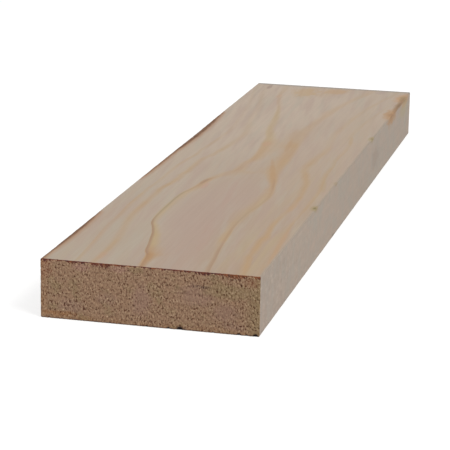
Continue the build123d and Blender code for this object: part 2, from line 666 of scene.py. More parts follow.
marks = {
    # Knots and pin knots on the right arris
    "knot_flank": mark(
        (edge - 0.5, near + 506, top - 1), (9, 33, 10), 0.9, (180, 140, 100), 0.85, (158, 122, 88), 0.7
    ),
    "knot_end": mark(
        (edge - 1, near + 579, top - 1), (11, 28, 8), 0.9, (190, 150, 112), 0.8, (156, 136, 98), 0.7
    ),
    "knot_seam": mark(
        (edge - 0.5, near + 548, top), (4.2, 42, 3.0), 0.8, (156, 122, 90), 0.8, (128, 104, 76), 0.7
    ),
    "far_pin_knot": mark(
        (edge, near + 406, top), (4.2, 12, 4.2), 0.5, (168, 150, 112), 0.75, (138, 122, 86), 0.85
    ),
    "near_pin_knot": mark(
        (edge - 1.0, near + 173, top), (4.2, 10, 3.8), 0.5, (164, 144, 104), 0.75, (122, 110, 70), 0.95
    ),
    "faint_pin": mark((edge, near + 249, top), (2.6, 7, 3.0), 0.5, (160, 136, 104), 0.45),
    # Knocks on the right edge
    "foot_nick": mark((edge, near + 241, 1.0), (2.5, 4.5, 2.4), 0.4, (112, 98, 82), 0.8),
    "side_bruise": mark((edge, near + 424, 19), (7, 26, 11), 1.2, (156, 138, 124), 0.4),
    # Resin and blushes at the far end and along the two arms
    "resin_at_far_end": mark((5, near + 591, top), (15, 18, 9), 1.4, (190, 155, 118), 0.55),
    "resin_beside_it": mark((-20, near + 580, top), (14, 30, 9), 1.4, (190, 159, 118), 0.55),
    "resin_on_left_arm": mark((-7, near + 362, top), (4.5, 13, 5), 1.0, (192, 152, 126), 0.4),
    "streak_under_arm": mark((17.5, near + 272, top), (2.8, 52, 3), 0.6, (180, 144, 106), 0.62, lean=-0.22),
    "streak_beside_it": mark((18.5, near + 262, top), (6.0, 34, 4), 0.6, (184, 150, 112), 0.4, lean=-0.22),
    "streak_further_on": mark((10.8, near + 362, top), (2.6, 34, 3), 0.6, (180, 144, 104), 0.35, lean=-0.09),
    "smear_past_middle": mark((8.5, near + 402, top), (7.0, 28, 4), 0.7, (180, 151, 126), 0.35, lean=-0.05),
    "resin_at_foot": mark((-7.2, near + 26, top), (3.0, 13, 3), 0.6, (172, 130, 86), 0.3, lean=-0.15),
    "pitch_spot": mark((-23.0, near + 227, top), (2.6, 12, 3), 0.6, (148, 116, 98), 0.28, lean=0.1),
    "blush_by_spot": mark((-19.5, near + 215, top), (3.0, 13, 3), 0.6, (190, 152, 134), 0.45),
    "blush_far_right": mark((16, near + 494, top), (8, 16, 5), 1.0, (190, 162, 140), 0.2),
    "blush_right": mark((16, near + 450, top), (3.0, 18, 3), 0.7, (180, 152, 134), 0.25),
    # Short strong lengths of the outer rings, and rosy streaks between the arms
    "ring_fleck_near": mark((56.3, near + 26, top), (2.4, 30, 4), 0.8, (182, 147, 106), 0.4, lean=-0.12),
    "ring_by_edge": mark((66, near + 72, top), (2.2, 55, 3), 0.7, (186, 150, 116), 0.5, lean=-0.05),
    "ring_fleck_middle": mark((63, near + 237, top), (2.6, 26, 4), 0.7, (178, 152, 112), 0.35, lean=-0.14),
    "ring_fleck_far": mark((55.5, near + 390, top), (2.4, 22, 4), 0.7, (186, 156, 118), 0.4, lean=-0.13),
    "near_left_fleck": mark((-36, near + 18, top), (3.6, 12, 4), 0.9, (188, 150, 126), 0.35),
    "far_left_fleck": mark((-39, near + 556, top), (3.2, 12, 4), 0.9, (194, 160, 134), 0.4),
    "right_fleck": mark((54, near + 172, top), (3.0, 18, 4), 0.9, (186, 152, 118), 0.4),
    "near_right_fleck": mark((54.5, near + 88, top), (2.8, 13, 4), 0.9, (184, 151, 116), 0.4),
    "rosy_streak": mark((15, near + 82, top), (5.0, 52, 3), 0.9, (180, 148, 132), 0.3, lean=-0.12),
    "rosy_streak_on": mark((3, near + 200, top), (3.6, 60, 3), 0.9, (180, 150, 134), 0.35, lean=-0.1),
    # Dirt at the far end, painted shade along its upper arris, and green wood round its knot
    "far_smudge": mark((-edge + 14, far - 16, top), (2.6, 16, 4), 0.8, (154, 128, 118), 0.6),
    # Painted shade along the upper arris of the far end
    "painted_far_arris_shade": mark((0, far, top), (260, 8, 3), 0.2, (150, 146, 140), 0.7),
    "knot_green": mark((edge, near + 574, top - 9), (5, 30, 9), 0.8, (178, 163, 128), 0.5),
    "small_smudge": mark((45, far - 12, top), (6, 9, 4), 0.8, (172, 150, 144), 0.4),
}


def lay_marks(tree, place, colour):
    """Lays every mark's halo and heart over a colour."""
    ripple = patch_ripple(tree, place)
    for one in marks.values():
        mask = use_group(
            tree, patch, Place=place, Centre=one["middle"], Radii=one["radii"],
            Lean=one["lean"], Ripple=ripple, Raggedness=one["raggedness"],
        )
        colour = tint(tree, calc(tree, "MULTIPLY", mask["Halo"], one["amount"]), colour, one["halo"])
        if one["heart_amount"]:
            heart = calc(tree, "MULTIPLY", mask["Heart"], one["heart_amount"])
            colour = tint(tree, heart, colour, one["heart"])
    return colour


print(len(marks), "marks on the planed faces")

# %% Colours of planed softwood
early_near_left = paint(180, 163, 144)
early_near_right = paint(174, 151, 130)
# The far tones hold painted light: they are lighter for the brighter light on the far end
lit_early_far_left = paint(195, 177, 159)
lit_early_far_right = paint(189, 171, 153)
# The grey of the narrow edges is painted light, for the cooler light on their side
edge_grey = paint(177, 163, 150)
edge_cool = paint(168, 164, 154)
edge_warm = paint(184, 164, 148)
edge_near = paint(166, 153, 143)
# Painted shading laid across the rounded arrises
edge_blend = paint(178, 161, 145)
nap_dark = paint(148, 134, 122)
nap_pale = paint(204, 190, 174)
rosy = paint(178, 154, 140)
cool_pale = paint(180, 169, 152)
straw = paint(182, 161, 129)
arris_painted_dark = paint(158, 144, 128)
# Painted shade on the upper right arris
honey = paint(183, 148, 106)
dry_honey = paint(184, 157, 112)
outer_honey = paint(181, 149, 111)
resin_brown = paint(166, 124, 86)
ring_brown = paint(154, 120, 97)
ring_olive = paint(146, 130, 102)
bark_brown = paint(130, 94, 66)
bark_dark = paint(100, 67, 44)
bark_bleed = paint(176, 138, 108)
print("honey is", [round(value, 3) for value in honey[:3]], "to a shader")

# %% [markdown]
# ## Coats of colour
#
# The colour of planed wood could be one long chain of nodes, but such a chain is
# hard to read and to change. Here it is built up as a painter would glaze it: the
# early wood first, then its streaks, then the late wood, then the edges. Each coat
# is a small function that takes the colour so far and gives it back with one thing
# more. At the end a node group holds them all, for the faces and the waney arris.

# %% Coats: early wood and its streaks
def early_wood(tree, place):
    """Four soft tones, one towards each corner of the board. The far two are also painted lighter, standing
    in for the brighter light on the far end.
    """
    x, y, _ = split(tree, place)
    drift = calc(tree, "SUBTRACT", cloud(tree, place, (30, 110, 30), 42.0), 0.5)
    sideways = ramp(tree, calc(tree, "MULTIPLY_ADD", drift, 60.0, x), -40.0, 45.0)
    lengthways = ramp(tree, calc(tree, "MULTIPLY_ADD", drift, -260.0, y), near, far)
    near_tone = tint(tree, sideways, early_near_left, early_near_right)
    lit_far_tone = tint(tree, sideways, lit_early_far_left, lit_early_far_right)
    return tint(tree, lengthways, near_tone, lit_far_tone)


def lay_streaks(tree, colour, place, from_main):
    """Cool and rosy streaks that slant a little, and straw-coloured ones near the right edge."""
    x, y, z = split(tree, place)
    slanted = join(tree, calc(tree, "MULTIPLY_ADD", y, 0.09, x), y, z)
    cool = ramp(tree, cloud(tree, slanted, (5, 60, 5), 49.0, detail=3.0), 0.45, 0.7)
    colour = tint(tree, calc(tree, "MULTIPLY", cool, 0.5), colour, cool_pale)

    # The wood inside the main ring is rosy too, most of all towards the near end
    inside = ramp(tree, from_main, -3.2, 0.2, 0.85, 0.0)
    inside = calc(tree, "MULTIPLY", inside, ramp(tree, y, near, 190.0, 1.0, 0.0))
    blush = ramp(tree, cloud(tree, slanted, (6, 75, 6), 44.0, detail=3.0), 0.42, 0.7)
    rosy_amount = calc(tree, "MAXIMUM", inside, calc(tree, "MULTIPLY", blush, 0.55))
    colour = tint(tree, rosy_amount, colour, rosy)

    dry = ramp(tree, cloud(tree, place, (7, 130, 7), 45.0), 0.4, 0.65)
    towards_edge = calc(
        tree, "MULTIPLY", ramp(tree, x, 28.0, 54.0), ramp(tree, x, 58.0, 68.0, 1.0, 0.3)
    )
    towards_near = ramp(tree, y, near, 120.0, 1.0, 0.25)
    straw_amount = calc(tree, "MULTIPLY", calc(tree, "MULTIPLY", dry, towards_edge), towards_near)
    return tint(tree, calc(tree, "MULTIPLY", straw_amount, 0.7), colour, straw)


print("early wood: four tones and three kinds of streak")

# %% Coat: late wood
# The colour can fade on past the line of the main ring, up to this far outside it
fade_reach = 1.4


def outer_late_wood(tree, place, rings):
    """How much late wood the other rings show, stronger in some lengths than in others."""
    x, y, _ = split(tree, place)
    outer = late_wood_of(tree, rings, 1.9, 1.0)
    vary = ramp(tree, cloud(tree, place, (12, 90, 12), 43.0), 0.3, 0.7, 0.55, 0.9)
    broken = ramp(tree, cloud(tree, place, (15, 26, 15), 48.0), 0.36, 0.62, 0.7, 1.05)
    sided = ramp(tree, x, -30.0, 40.0, 0.85, 0.95)
    fading = ramp(tree, y, -130.0, 200.0, 1.0, 0.35)

    # The first ring out is the clearest, the second is fainter, and the rest hardly show
    second_out = ramp(tree, rings["Ring"], 0.2, 0.8, 1.0, 0.7)
    further_out = ramp(tree, rings["Ring"], 1.2, 1.8, 1.0, 0.15)
    amount = outer["Band"]
    for share in (vary, broken, sided, second_out, further_out, fading):
        amount = calc(tree, "MULTIPLY", amount, share)
    return amount


def stretch_of(tree, y, fade_in, fade_out):
    """1 over a stretch of the board that fades in and out, each between two places from the near end."""
    starts = ramp(tree, y, near + fade_in[0], near + fade_in[1])
    stops = ramp(tree, y, near + fade_out[0], near + fade_out[1], 1.0, 0.0)
    return calc(tree, "MULTIPLY", starts, stops)


def lay_late_wood(tree, colour, place, rings):
    """Lays the late wood of all the rings, and gives the colour and the amount of late wood."""
    y = split(tree, place)[1]
    along = calc(tree, "MULTIPLY_ADD", y, 0.5 / half_length, 0.5)
    to_right = ramp(tree, rings["From pith"], -2.0, 2.0)
    on_left = calc(tree, "SUBTRACT", 1.0, to_right)

    # The main ring follows its own courses
    patchy = ramp(tree, cloud(tree, place, (16, 34, 16), 46.0), 0.3, 0.7, 0.85, 1.1)
    band = calc(tree, "MULTIPLY", either_arm(tree, along, to_right, "band"), patchy)
    uneven = ramp(tree, cloud(tree, place, (10, 26, 10), 47.0, detail=3.0), 0.3, 0.7, 0.85, 1.15)
    thick = calc(tree, "MULTIPLY", either_arm(tree, along, to_right, "thickness"), uneven)
    main = late_wood_of(tree, rings, thick, either_arm(tree, along, to_right, "fade"))
    is_main = calc(tree, "COMPARE", rings["Ring"], -1.0, 0.5)
    close_by = calc(tree, "GREATER_THAN", fade_reach, calc(tree, "ABSOLUTE", rings["From main"]))
    in_main = calc(tree, "MAXIMUM", is_main, close_by)
    main_amount = calc(tree, "MULTIPLY", band, main["Band"])
    amount = blend(tree, in_main, outer_late_wood(tree, place, rings), main_amount)

    # Two stretches of it are drier and yellower, mostly on the left
    mostly_left = calc(tree, "MULTIPLY_ADD", to_right, -0.6, 1.0)
    first_dry = calc(tree, "MULTIPLY", stretch_of(tree, y, (38, 55), (180, 215)), mostly_left)
    second_dry = calc(tree, "MULTIPLY", stretch_of(tree, y, (360, 390), (480, 520)), on_left)
    main_honey = tint(tree, calc(tree, "MAXIMUM", first_dry, second_dry), honey, dry_honey)
    colour = tint(tree, amount, colour, tint(tree, in_main, outer_honey, main_honey))

    # Resin browns the foot of the left arm
    foot = calc(tree, "MULTIPLY", ramp(tree, y, near, near + 60, 0.6, 0.0), on_left)
    core = calc(tree, "MULTIPLY", calc(tree, "MULTIPLY", main["Band"], is_main), foot)
    colour = tint(tree, core, colour, resin_brown)

    # The line that ends the ring is brown, and olive over one stretch
    line = either_arm(tree, along, to_right, "line")
    line_amount = calc(tree, "MULTIPLY", calc(tree, "MULTIPLY", line, main["Line"]), in_main)
    line_colour = tint(tree, stretch_of(tree, y, (105, 140), (190, 210)), ring_brown, ring_olive)
    return tint(tree, line_amount, colour, line_colour), amount


print("late wood fades up to", fade_reach, "mm past the main ring")

# %% Coats: the narrow edges
def on_narrow_edge(tree, x):
    """1 on the two narrow edges, and 0 on the wide faces."""
    return ramp(tree, calc(tree, "ABSOLUTE", x), half_width - 1.1, half_width - 0.1)


def grey_edges(tree, colour, place):
    """The narrow edges are painted greyer and cooler than the faces, for the cooler light on their side, and
    darker towards the near end, with a mottle of cool and warm tones.
    """
    x, y, _ = split(tree, place)
    mottle = cloud(tree, place, (9, 24, 9), 50.0, detail=3.0, roughness=0.6)
    tone = tint(tree, ramp(tree, mottle, 0.5, 0.32, 0.0, 0.8), edge_grey, edge_cool)
    tone = tint(tree, ramp(tree, mottle, 0.5, 0.68, 0.0, 0.8), tone, edge_warm)
    tone = tint(tree, ramp(tree, y, near, near + 150, 0.6, 0.0), tone, edge_near)
    greyed = calc(tree, "MULTIPLY", on_narrow_edge(tree, x), ramp(tree, x, -10.0, 10.0, 0.5, 0.75))
    return tint(tree, greyed, colour, tone)


def roughen_edges(tree, colour, place):
    """Upright streaks on the right edge, and a fine nap that the planer left on both."""
    x, y, z = split(tree, place)
    on_edge = on_narrow_edge(tree, x)
    on_right = calc(tree, "MULTIPLY", on_edge, ramp(tree, x, -10.0, 10.0))
    streak = cloud(tree, place, (9, 9, 20), 63.0, detail=2.0)
    for full, most, tone in ((0.34, 0.5, edge_cool), (0.66, 0.4, edge_warm)):
        amount = calc(tree, "MULTIPLY", ramp(tree, streak, 0.5, full, 0.0, most), on_right)
        colour = tint(tree, amount, colour, tone)

    # The nap is strongest at the near end, and along the foot
    towards_near = ramp(tree, y, near, near + 240, 0.8, 0.28)
    strength = calc(tree, "MAXIMUM", towards_near, ramp(tree, z, 0.0, 7.0, 0.55, 0.0))
    strength = calc(tree, "MULTIPLY", strength, on_edge)
    nap = cloud(tree, place, (9, 6, 4), 62.0, detail=3.0, roughness=0.75)
    for full, tone in ((0.3, nap_dark), (0.7, nap_pale)):
        amount = calc(tree, "MULTIPLY", ramp(tree, nap, 0.5, full, 0.0, 0.75), strength)
        colour = tint(tree, amount, colour, tone)
    return colour


def soften_arrises(tree, colour, place):
    """Painted shading over the rounded arrises: a tone that the edges share with the faces beside them,
    mostly on the right, and a painted darker upper right arris.
    """
    x, _, z = split(tree, place)
    near_top = ramp(tree, z, thickness - 5.0, thickness - 0.5, 0.0, 0.3)
    beside_top = calc(tree, "MULTIPLY", on_narrow_edge(tree, x), near_top)
    to_right = ramp(tree, x, half_width - 4.5, half_width - 0.5, 0.0, 0.35)
    colour = tint(tree, calc(tree, "MAXIMUM", to_right, beside_top), colour, edge_blend)

    # Painted shade: the upper right arris itself is a little darker, against the highlight that it catches
    on_top = ramp(tree, z, thickness - 1.3, thickness - 0.2)
    on_arris = calc(tree, "MULTIPLY", on_top, ramp(tree, x, half_width - 1.5, half_width - 0.3))
    return tint(tree, calc(tree, "MULTIPLY", on_arris, 0.6), colour, arris_painted_dark)


print("narrow edges: greyed, roughened, softened")

# %% Node group: timber colour
def make_timber_colour():
    """All the coats in turn, and how much late wood shows."""
    tree, start, end = start_group(
        "timber_colour", {"Place": "Vector"}, {"Colour": "Color", "Late wood": "Float"}
    )
    place = start["Place"]
    rings = use_group(tree, growth_rings, Place=place)
    colour = early_wood(tree, place)
    colour = lay_streaks(tree, colour, place, rings["From main"])
    colour, amount = lay_late_wood(tree, colour, place, rings)
    for coat in (grey_edges, roughen_edges, soften_arrises):
        colour = coat(tree, colour, place)
    feed(tree, end["Colour"], colour)
    feed(tree, end["Late wood"], amount)
    return tree


timber_colour = make_timber_colour()
print("timber colour group has", len(timber_colour.nodes), "nodes")

# %% Material: planed timber
def make_planed_timber():
    """The wood colour with fibres, marks and the stain of the bark."""
    material, tree, shader, place = start_material("planed_timber")
    streaks = use_group(tree, fibres, Place=place)
    timber = use_group(tree, timber_colour, Place=place)

    # Fibres lighten and darken everything a little
    shade = ramp(tree, streaks["Streak"], 0.0, 1.0, 0.981, 1.019)
    fine_shade = ramp(tree, streaks["Fine"], 0.0, 1.0, 0.983, 1.017)
    grey = add_node(tree, "CombineColor")
    for socket in grey.inputs:
        feed(tree, socket, calc(tree, "MULTIPLY", shade, fine_shade))
    colour = tint(tree, 1.0, timber["Colour"], grey.outputs[0], blend_type="MULTIPLY")

    colour = lay_marks(tree, place, colour)
    stain = use_group(tree, wane_stain, Place=place)
    colour = tint(tree, calc(tree, "MULTIPLY", stain["Bleed"], 0.75), colour, bark_bleed)
    colour = tint(tree, calc(tree, "MULTIPLY", stain["Core"], 0.9), colour, bark_brown)
    feed(tree, shader.inputs["Base Color"], colour)

    roughness = calc(tree, "MULTIPLY_ADD", timber["Late wood"], -0.06, 0.68)
    feed(tree, shader.inputs["Roughness"], calc(tree, "MULTIPLY_ADD", streaks["Fine"], 0.08, roughness))
    feed(tree, shader.inputs["Specular IOR Level"], 0.3)
    relief = calc(tree, "MULTIPLY", streaks["Fine"], 0.5)
    relief = calc(tree, "MULTIPLY_ADD", timber["Late wood"], 0.5, relief)
    add_bump(tree, shader, relief, 0.05)
    return material


planed_timber = make_planed_timber()
print("material", planed_timber.name)

# %% [markdown]
# ## The sawn end
#
# A saw cuts across the tubes, so an end looks darker than a face: light falls into
# the open tubes and does not come back. Torn fibres make it coarse. The surface
# itself is modelled further down, and its points keep three numbers that this
# material reads: torn, how deep they lie; tear_reach, how far the upper arris broke
# out above them; and chipped, how much the lower arris is chipped there.

# %% Colours and patches of the sawn end
end_tan = paint(164, 131, 105)
end_rosy = paint(163, 130, 111)
end_olive = paint(154, 132, 98)
end_pale = paint(196, 166, 136)
# Dark specks of open tubes, and the painted shade in the deepest pits
dark_specks_and_pit_shade = paint(84, 48, 32)
end_orange = paint(168, 124, 86)
end_shaded = paint(128, 100, 72)
tear_red = paint(96, 46, 40)
tear_brown = paint(130, 76, 48)
# Near-black of torn fibres, also laid as painted shade in the torn arris and at the foot
tear_and_shade_black = paint(58, 36, 36)
# Painted shadow in the chips of the bottom arris
chip_shadow_black = paint(30, 20, 20)
end_salmon = paint(178, 122, 94)
end_pink = paint(180, 138, 124)
end_amber = paint(164, 114, 70)
sore_brown = paint(110, 58, 42)
scorch_brown = paint(76, 56, 54)

# Patches of tone on the near end: how far right and up, how wide and tall, colour, strength
end_patches = [
    ((-5, 17), (9, 13), end_rosy, 0.9),
    ((31, 23), (17, 9), end_rosy, 0.9),
    ((48, 13), (13, 8), end_rosy, 0.9),
    ((53, 5), (10, 4), end_rosy, 0.8),
    ((-51, 9), (12, 6), end_rosy, 0.8),
    ((-27, 16), (9, 6), end_rosy, 0.6),
    ((-43.5, 34.5), (7, 3.5), end_pink, 0.6),
    ((-19.5, 35), (8, 3.0), end_pink, 0.55),
    ((-57, 3.5), (14, 2.5), end_amber, 0.6),
    ((50, 27), (22, 7), end_olive, 0.8),
]

# The saw cut these cleaner than the rest
calm_patches = [((-5, 17), (8, 12)), ((31, 23), (16, 9)), ((48, 13), (10, 6))]

# In the two upper corners the cut is raw, and the tubes show redder
sore_patches = [((-68, 33), (8, 12)), ((65, 34), (6, 5))]

# A broken row of scorched dots
scorch_patch = ((33, 28.5), (8, 1.5))

# How far these patches reach into the board, which leaves the far end free of them
end_patch_reach = 200

# The furthest that a tear reaches below the top arris, in millimetres
tear_limit = 3.0
print(len(end_patches), "patches of tone on the near end")

# %% Tones of the sawn end
def end_patch(tree, place, ripple, middle, size):
    """The mask of one patch on the near end."""
    return use_group(
        tree, patch, Place=place, Centre=(middle[0], near, middle[1]),
        Radii=(size[0], end_patch_reach, size[1]), Lean=0.0, Ripple=ripple, Raggedness=0.9,
    )["Halo"]


def end_tones(tree, place, ripple):
    """Tan, with patches of other tones, olive to the right and orange at the left and the foot."""
    x, _, z = split(tree, place)
    olive_patch = ramp(tree, cloud(tree, place, (11, 14, 9), 53.0), 0.5, 0.66, 0.0, 0.6)
    olive_patch = calc(tree, "MAXIMUM", olive_patch, ramp(tree, x, 58.0, 69.0, 0.0, 0.9))
    colour = tint(tree, olive_patch, end_tan, end_olive)
    for middle, size, tone, amount in end_patches:
        mask = end_patch(tree, place, ripple, middle, size)
        colour = tint(tree, calc(tree, "MULTIPLY", mask, amount), colour, tone)
    at_left = ramp(tree, x, -half_width, -half_width + 6.0, 0.7, 0.0)
    at_foot = ramp(tree, z, 0.0, 5.0, 0.5, 0.0)
    patchy = ramp(tree, cloud(tree, place, (9, 9, 9), 54.0), 0.4, 0.6, 0.3, 1.0)
    warm = calc(tree, "MULTIPLY", calc(tree, "MAXIMUM", at_left, at_foot), patchy)
    colour = tint(tree, warm, colour, end_orange)
    return tint(tree, ramp(tree, x, 15.0, 50.0, 0.0, 0.14), colour, end_shaded)


print("ends are tan, rosy, olive and orange")

# %% Open tubes and torn tufts
def end_roughness(tree, place, ripple):
    """How broken the surface is: calm in some patches, rougher in rows on the left and in late wood."""
    x = split(tree, place)[0]
    calm = 0.0
    for middle, size in calm_patches:
        calm = calc(tree, "MAXIMUM", end_patch(tree, place, ripple, middle, size), calm)
    rough = ramp(tree, cloud(tree, place, (6, 9, 4), 56.0), 0.35, 0.65, 0.6, 1.3)
    rough = calc(tree, "MULTIPLY", rough, calc(tree, "MULTIPLY_ADD", calm, -0.5, 1.0))
    rows = ramp(tree, cloud(tree, place, (13, 9, 1.5), 59.0, detail=1.0), 0.38, 0.62, 0.6, 1.45)
    rows = blend(tree, ramp(tree, x, -10.0, 30.0, 1.0, 0.35), 1.0, rows)
    rough = calc(tree, "MULTIPLY", rough, rows)
    rim = late_wood_of(tree, use_group(tree, growth_rings, Place=place), 1.3, 0.5)
    return calc(tree, "MULTIPLY_ADD", rim["Band"], 0.35, rough)


def lay_specks(tree, colour, rough, specks, fine):
    """Torn tufts are pale, and open tubes are dark. Each comes in a coarse and a fine size."""
    for source, begin, full, most in ((specks, 0.52, 0.68, 0.75), (fine, 0.5, 0.72, 0.4)):
        pale = ramp(tree, source, begin, full, 0.0, most)
        colour = tint(tree, calc(tree, "MULTIPLY", pale, rough), colour, end_pale)
    for source, begin, full, most in ((fine, 0.47, 0.26, 0.75), (specks, 0.47, 0.32, 0.94)):
        dark = ramp(tree, source, begin, full, 0.0, most)
        colour = tint(tree, calc(tree, "MULTIPLY", dark, rough, clamp=True), colour, dark_specks_and_pit_shade)
    return colour


def lay_sore_patches(tree, colour, place, ripple, fine):
    """Redder tubes in the upper corners, and a row of scorched dots."""
    for middle, size in sore_patches:
        sore = end_patch(tree, place, ripple, middle, size)
        colour = tint(tree, calc(tree, "MULTIPLY", sore, 0.2), colour, end_salmon)
        sore = calc(tree, "MULTIPLY", sore, ramp(tree, fine, 0.48, 0.36, 0.0, 0.8))
        colour = tint(tree, sore, colour, sore_brown)
    dots = ramp(tree, fine, 0.55, 0.42, 0.1, 0.9)
    scorch = calc(tree, "MULTIPLY", end_patch(tree, place, ripple, *scorch_patch), dots)
    return tint(tree, scorch, colour, scorch_brown)


print("near end:", len(calm_patches), "calm patches and", len(sore_patches), "sore ones")

# %% The torn arris and the foot of the end
def lay_torn_arris(tree, colour, place, tear_and_shade_mottle):
    """The torn upper arris: torn fibres in red and brown, and painted shade in near-black, in patches and
    between splinters that slant to the right.
    """
    x, y, z = split(tree, place)
    tear_reach = add_node(tree, "Attribute", attribute_name="tear_reach").outputs["Fac"]
    below = calc(tree, "SUBTRACT", thickness, z)
    slanted = join(tree, calc(tree, "MULTIPLY_ADD", below, -0.7, x), y, z)
    splinters = cloud(tree, slanted, (0.75, 8, 2.4), 58.0, detail=2.0)
    depth = calc(tree, "DIVIDE", below, calc(tree, "MULTIPLY_ADD", tear_reach, tear_limit, 0.05))
    depth = calc(tree, "MULTIPLY_ADD", calc(tree, "SUBTRACT", splinters, 0.5), 3.4, depth)
    browner = calc(tree, "MULTIPLY_ADD", ramp(tree, x, 40.0, 50.0), 0.25, tear_and_shade_mottle)
    tear = tint(tree, ramp(tree, browner, 0.46, 0.66), tear_red, tear_brown)
    tear = tint(tree, ramp(tree, tear_and_shade_mottle, 0.42, 0.3), tear, tear_and_shade_black)
    tear = tint(tree, ramp(tree, splinters, 0.5, 0.36, 0.0, 0.8), tear, tear_and_shade_black)
    return tint(tree, ramp(tree, depth, 1.0, 0.6, 0.0, 0.95), colour, tear)


def darken_foot(tree, colour, place, tear_and_shade_mottle):
    """Painted shade where the end meets the floor, and painted shadow in the chips of the bottom arris."""
    z = split(tree, place)[2]
    shade = ramp(tree, z, 0.0, 1.4, 0.6, 0.0)
    shade = calc(tree, "MULTIPLY", shade, ramp(tree, tear_and_shade_mottle, 0.4, 0.6, 0.2, 1.0))
    colour = tint(tree, shade, colour, tear_and_shade_black)
    chipped = add_node(tree, "Attribute", attribute_name="chipped").outputs["Fac"]
    return tint(tree, ramp(tree, chipped, 0.1, 0.5), colour, chip_shadow_black)


print("a tear reaches at most", tear_limit, "mm below the upper arris")

# %% Material: sawn end
def make_sawn_end():
    """Tones, specks and sore patches, and then the torn upper arris with some painted shade, and the painted
    shade at the foot.
    """
    material, tree, shader, place = start_material("sawn_end")
    ripple = patch_ripple(tree, place)

    # The saw has drawn the specks out upright
    specks = cloud(tree, place, (1.15, 8.0, 1.7), 52.0, detail=2.0, roughness=0.6)
    fine = cloud(tree, place, (0.62, 8.0, 1.15), 55.0, detail=1.0)
    rough = end_roughness(tree, place, ripple)
    colour = lay_specks(tree, end_tones(tree, place, ripple), rough, specks, fine)

    # Painted shade: the deepest points of the mesh are darkened too
    torn = add_node(tree, "Attribute", attribute_name="torn").outputs["Fac"]
    colour = tint(tree, ramp(tree, torn, 0.5, 1.1, 0.0, 0.6), colour, dark_specks_and_pit_shade)
    colour = lay_sore_patches(tree, colour, place, ripple, fine)

    # A mottle that breaks up the torn arris and the painted shade at the foot
    tear_and_shade_mottle = cloud(tree, place, (4, 5, 4), 57.0, detail=2.0)
    colour = lay_torn_arris(tree, colour, place, tear_and_shade_mottle)
    colour = darken_foot(tree, colour, place, tear_and_shade_mottle)
    feed(tree, shader.inputs["Base Color"], colour)
    feed(tree, shader.inputs["Roughness"], calc(tree, "MULTIPLY_ADD", specks, 0.12, 0.84))
    feed(tree, shader.inputs["Specular IOR Level"], 0.2)
    add_bump(tree, shader, specks, 0.35)
    return material


sawn_end = make_sawn_end()
print("material", sawn_end.name)

# %% [markdown]
# ## Bark on the waney arris
#
# What is left of the bark is a dark, crumbly film on the strip of wane. It could be
# thin flakes of mesh, but they would be far under a millimetre. So it is a mottle
# of two browns with a small bump, over the same wood colour as the faces.

# %% Material: waney arris
def make_waney_arris():
    """The wood colour under a film of bark."""
    material, tree, shader, place = start_material("waney_arris")
    timber = use_group(tree, timber_colour, Place=place)
    stain = use_group(tree, wane_stain, Place=place)
    mottle = cloud(tree, place, (1.5, 7, 1.5), 61.0, detail=3.0)
    bark = tint(tree, ramp(tree, mottle, 0.4, 0.7), bark_brown, bark_dark)
    colour = tint(tree, calc(tree, "MULTIPLY", stain["Bleed"], 0.75), timber["Colour"], bark_bleed)
    colour = tint(tree, stain["Core"], colour, bark)
    feed(tree, shader.inputs["Base Color"], colour)
    feed(tree, shader.inputs["Roughness"], calc(tree, "MULTIPLY_ADD", mottle, 0.2, 0.7))
    feed(tree, shader.inputs["Specular IOR Level"], 0.3)
    add_bump(tree, shader, mottle, 0.15)
    return material


waney_arris = make_waney_arris()
print("material", waney_arris.name)

# %% [markdown]
# ## The shape of the board
#
# A box with a bevel would do for the faces, but not for a sawn end with torn
# fibres or an arris with wane. So the board is built as a skin in three kinds of
# piece that share their points: four strips along the arrises, two sawn ends with
# a fine net of points, and four flat faces that fill what is left. Sharing the
# points leaves no gaps, which also makes the mesh a true solid.

# %% Points and faces of the skin
points = []
torn_depth = []
tear_reaches = []
chip_depth = []
faces = []
face_materials = []
slots = {"planed_timber": 0, "sawn_end": 1, "waney_arris": 2}


def add_point(x, y, z, torn=0.0, reach=0.0, chip=0.0):
    """Adds a point, in millimetres, and gives its number."""
    points.append((x * mm, y * mm, z * mm))
    torn_depth.append(min(1.0, torn))
    tear_reaches.append(min(1.0, reach / tear_limit))
    chip_depth.append(min(1.0, chip))
    return len(points) - 1


def add_face(corners, material):
    """Adds a face by the numbers of its points."""
    faces.append(corners)
    face_materials.append(slots[material])


def wobble(x, y, z, size, seed):
    """Smooth noise from about -1 to 1, with patches of a size in millimetres."""
    return noise.noise(Vector((x / size + seed, y / size, z / size)))


print("the skin has", len(slots), "kinds of surface")

# %% [markdown]
# ## Depth of the sawn end
#
# The saw leaves a net of torn fibres. A displacement picture could press them into
# the end, but a depth worked out point by point can be kept and used for the colour
# as well. Three things add up here: pits and tufts about a millimetre across, tears
# under the top arris where the teeth broke out, and small chips in the bottom one.
# The tears and chips are on the near end only. Each end has its own random seed.

# %% Relief of an end
# Where the top arris broke out: middle, half the run, and reach below the arris
tears = [
    (-66, 4, 1.4), (-49.5, 4, 1.8), (-43, 2.5, 1.6), (-34.5, 3, 2.3), (-28.7, 4.5, 2.9),
    (-20, 7, 1.3), (2.5, 2.5, 1.0), (9, 1.5, 1.5), (18, 3.5, 1.6), (25, 1.5, 1.6),
    (34, 5.5, 2.2), (44, 3, 1.3), (54, 7.5, 2.9), (68, 2.5, 2.0),
]

# Tufts and pits are about this wide and this tall, in millimetres
tuft_size = (1.1, 2.2)
pit_size = (1.0, 2.2)

# Small chips in the bottom arris: middle and radius
chips = [(19.8, 3.0), (12.5, 1.6), (-1.5, 1.3), (41, 0.9), (57, 1.8), (62, 1.4), (67.5, 2.4), (-25, 1.0)]


